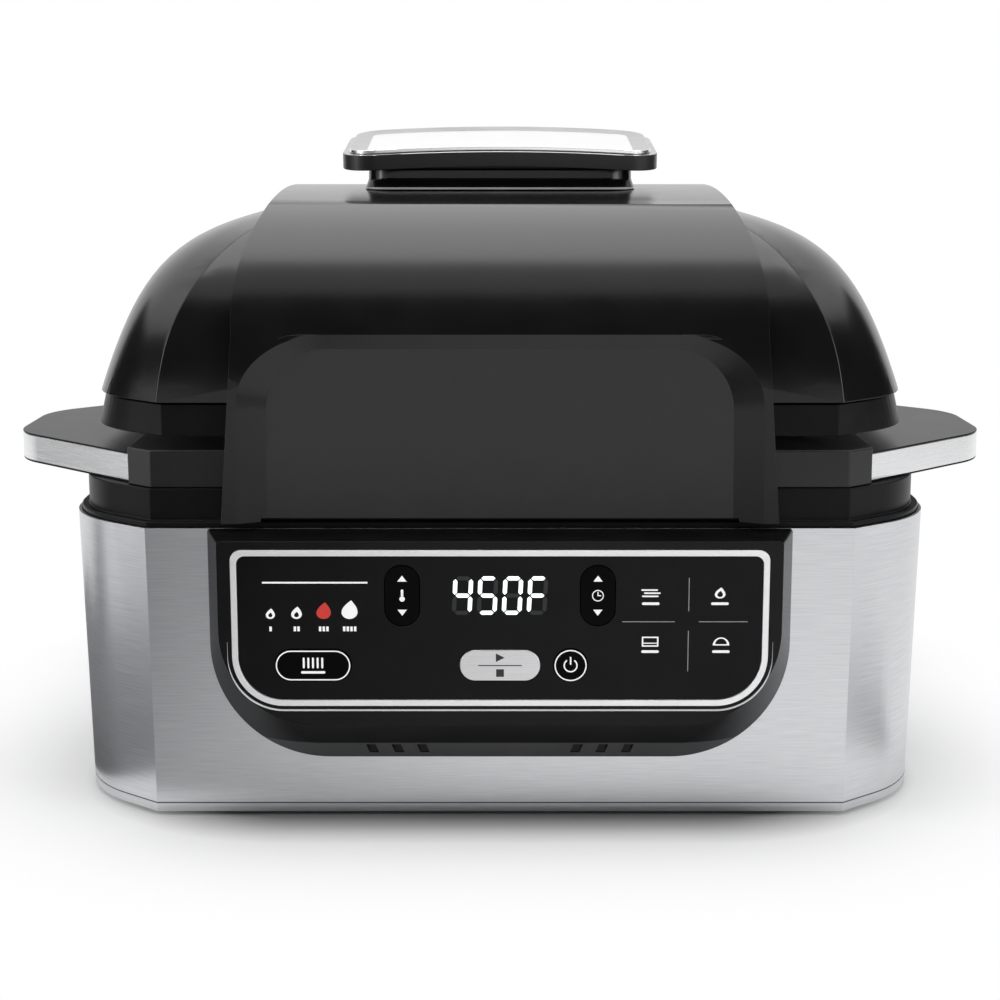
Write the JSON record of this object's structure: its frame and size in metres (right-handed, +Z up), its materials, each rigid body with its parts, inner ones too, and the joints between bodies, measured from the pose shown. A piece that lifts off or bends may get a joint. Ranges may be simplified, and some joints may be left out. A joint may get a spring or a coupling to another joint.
{
  "type": "indoor electric grill",
  "caption": "Countertop electric grill with a steel-wrapped base, a control panel with keys, side handles and a hinged domed lid over a pot with a ridged grate.",
  "frame": {"origin": "on the table, midway between the control panel's face and the rear cover, under the middle of the width", "axes": "+Z up, the control panel faces -Y, +X to the right seen from the front"},
  "size_m": [0.439, 0.3446, 0.2915],
  "materials": {
    "brushed_steel": "brushed",
    "gloss_black": "gloss",
    "satin_black": "satin",
    "rubber": "matte",
    "fastener_steel": "plain",
    "sheet_metal": "satin",
    "ceramic_coating": "satin",
    "circuit_board": "satin"
  },
  "bodies": {
    "base": {"steel_wrap": "brushed_steel", "base_tray": "satin_black", "rubber_feet": "rubber", "tray_screws": "fastener_steel", "rear_cover": "satin_black", "cord_gland": "rubber", "upper_collar": "satin_black", "deck_ring": "satin_black", "handle_left": "satin_black", "handle_trim_left": "brushed_steel", "handle_right": "satin_black", "handle_trim_right": "brushed_steel", "chamber_liner": "sheet_metal", "cooking_pot": "ceramic_coating", "grill_grate": "ceramic_coating", "control_bezel": "gloss_black", "panel_frame": "brushed_steel", "touch_panel": "gloss_black", "display_module": "circuit_board", "control_board": "circuit_board", "power_board": "circuit_board", "hinge_bracket_left": "fastener_steel", "hinge_pin_left": "fastener_steel", "hinge_bracket_right": "fastener_steel", "hinge_pin_right": "fastener_steel"},
    "lid": {"lid_shell": "gloss_black", "lid_band": "gloss_black", "lid_ring": "satin_black", "lid_liner": "sheet_metal", "lid_gasket": "rubber", "handle_neck": "gloss_black", "handle_grip": "satin_black", "handle_plate": "brushed_steel", "splatter_shield": "sheet_metal", "heating_element": "fastener_steel", "temperature_probe": "fastener_steel", "fan_motor": "fastener_steel", "motor_screws": "fastener_steel", "hinge_arm_left": "fastener_steel", "hinge_arm_right": "fastener_steel"},
    "fan": {"convection_fan": "sheet_metal", "motor_shaft": "fastener_steel", "fan_nut": "fastener_steel"},
    "start_stop": {"start_stop_button": "brushed_steel"},
    "grill_key": {"grill_button": "gloss_black"},
    "power_key": {"power_button": "gloss_black"},
    "temperature_key": {"temperature_rocker": "gloss_black"},
    "time_key": {"time_rocker": "gloss_black"}
  },
  "joints": [
    {"name": "lid_hinge", "type": "hinge", "parent": "base", "child": "lid", "pos_m": [0, 0.16, 0.168], "axis": [-1, 0, 0], "range_deg": [0, 85]},
    {"name": "fan_spin", "type": "hinge", "parent": "lid", "child": "fan", "pos_m": [0, 0.006, 0.21], "axis": [0, 0, 1], "continuous": true},
    {"name": "start_stop_press", "type": "slide", "parent": "base", "child": "start_stop", "axis": [0, 1, 0], "range_m": [0, 0.001], "stiffness_N_per_m": 600},
    {"name": "grill_press", "type": "slide", "parent": "base", "child": "grill_key", "axis": [0, 1, 0], "range_m": [0, 0.001], "stiffness_N_per_m": 600},
    {"name": "power_press", "type": "slide", "parent": "base", "child": "power_key", "axis": [0, 1, 0], "range_m": [0, 0.001], "stiffness_N_per_m": 600},
    {"name": "temperature_rocker_tilt", "type": "hinge", "parent": "base", "child": "temperature_key", "pos_m": [-0.04, -0.16895, 0.102], "axis": [1, 0, 0], "range_deg": [-3, 3], "stiffness_Nm_per_rad": 0.1},
    {"name": "time_rocker_tilt", "type": "hinge", "parent": "base", "child": "time_key", "pos_m": [0.04, -0.16895, 0.102], "axis": [1, 0, 0], "range_deg": [-3, 3], "stiffness_Nm_per_rad": 0.1}
  ]
}
